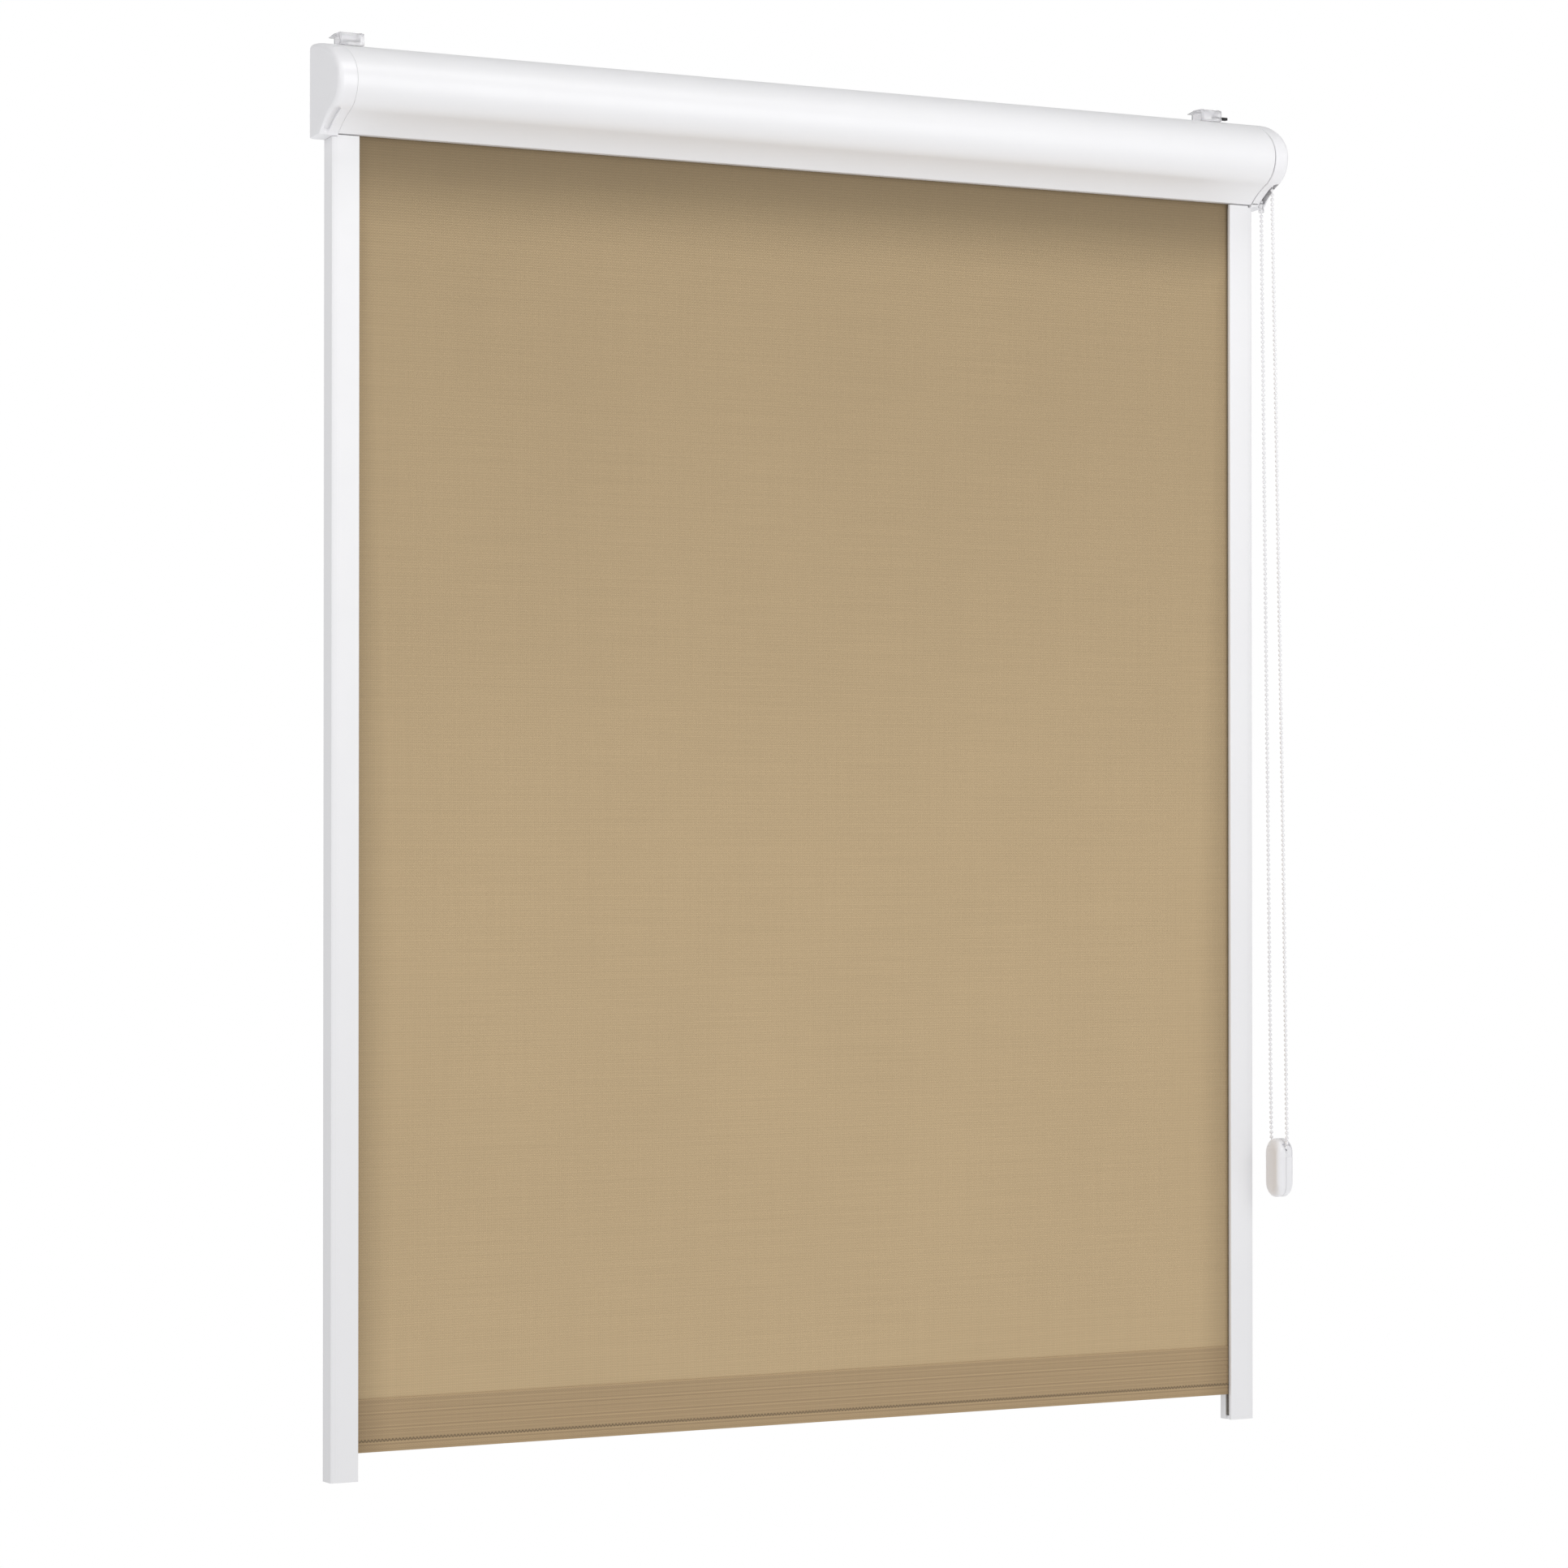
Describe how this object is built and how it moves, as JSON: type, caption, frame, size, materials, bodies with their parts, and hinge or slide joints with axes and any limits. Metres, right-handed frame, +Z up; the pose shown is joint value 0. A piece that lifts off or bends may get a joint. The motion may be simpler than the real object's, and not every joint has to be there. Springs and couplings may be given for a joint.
{
  "type": "roller blind",
  "caption": "Cassette roller blind with side rails, screen fabric, clip brackets and an endless bead chain with a hanging weight.",
  "frame": {"origin": "middle of the flat back of the cassette, on the wall plane", "axes": "+Z up, +X to the chain side, +Y into the wall or window that the blind is fixed to, so the room is on -Y"},
  "size_m": [0.963, 0.0612, 1.2114],
  "materials": {
    "white_aluminium": "satin white powder coat",
    "white_plastic": "glossy white moulded plastic",
    "clear_plastic": "clear moulded plastic",
    "mill_aluminium": "extruded",
    "grey_plastic": "moulded",
    "steel": "bright",
    "black_steel": "black",
    "fabric": "plain screen weave",
    "hem_fabric": "plain screen weave, double layer",
    "pile": "woven pile"
  },
  "bodies": {
    "root": {"cassette_front": "white_aluminium", "cassette_back": "white_aluminium", "left_end_cap": "white_plastic", "right_end_cap": "white_plastic", "idle_pin": "steel", "clutch_hub": "white_plastic", "chain_guard": "white_plastic", "chain_on_wheel": "white_plastic", "fabric_feed": "fabric", "left_rail_base": "white_aluminium", "right_rail_base": "white_aluminium", "left_rail_cover": "white_aluminium", "right_rail_cover": "white_aluminium", "left_rail_adaptor": "white_plastic", "right_rail_adaptor": "white_plastic", "left_rail_foot": "white_plastic", "right_rail_foot": "white_plastic", "left_rail_seals": "pile", "right_rail_seals": "pile", "left_bracket": "clear_plastic", "right_bracket": "clear_plastic", "latch_pins": "steel"},
    "roller": {"roller_tube": "mill_aluminium", "fabric_retainer": "white_plastic", "fabric_roll": "fabric", "drive_plug": "grey_plastic", "clutch_springs": "steel", "idle_plug": "grey_plastic", "idle_bush": "grey_plastic"},
    "wheel": {"chain_wheel": "white_plastic"},
    "blind": {"fabric_hem": "hem_fabric", "hem_bar": "mill_aluminium", "left_hem_guide": "white_plastic", "right_hem_guide": "white_plastic", "fabric_sheet": "fabric"},
    "chain": {"chain_loop": "white_plastic", "weight_left_half": "white_plastic", "weight_right_half": "white_plastic"},
    "connector": {"chain_connector": "white_plastic"},
    "left_latch_arm": {"left_latch": "black_steel"},
    "right_latch_arm": {"right_latch": "black_steel"}
  },
  "joints": [
    {"name": "blind_lift", "type": "slide", "parent": "root", "child": "blind", "axis": [0, 0, 1], "range_m": [0, 1.05], "deforming": ["fabric_sheet"]},
    {"name": "roller_spin", "type": "hinge", "parent": "root", "child": "roller", "pos_m": [0, -0.029, 0.002], "axis": [1, 0, 0], "range_deg": [-3440, 0]},
    {"name": "wheel_spin", "type": "hinge", "parent": "root", "child": "wheel", "pos_m": [0.475, -0.029, 0.002], "axis": [1, 0, 0], "range_deg": [-3440, 0]},
    {"name": "chain_swing", "type": "hinge", "parent": "root", "child": "chain", "pos_m": [0.475, -0.029, -0.03], "axis": [1, 0, 0], "range_deg": [-8, 1.2]},
    {"name": "connector_travel", "type": "slide", "parent": "chain", "child": "connector", "axis": [0, -0.0167, -0.9999], "range_m": [0, 0.52]},
    {"name": "left_latch_turn", "type": "hinge", "parent": "root", "child": "left_latch_arm", "pos_m": [-0.4455, -0.0186, 0.0409], "axis": [0, 0, 1], "range_deg": [-170, 0]},
    {"name": "right_latch_turn", "type": "hinge", "parent": "root", "child": "right_latch_arm", "pos_m": [0.4235, -0.0186, 0.0409], "axis": [0, 0, 1], "range_deg": [0, 170]}
  ],
  "couplings": [
    {"joint": "roller_spin", "follows": "blind_lift", "rad_per_m": -57.143},
    {"joint": "wheel_spin", "follows": "blind_lift", "rad_per_m": -57.143},
    {"joint": "connector_travel", "follows": "blind_lift", "ratio": 0.4911}
  ]
}
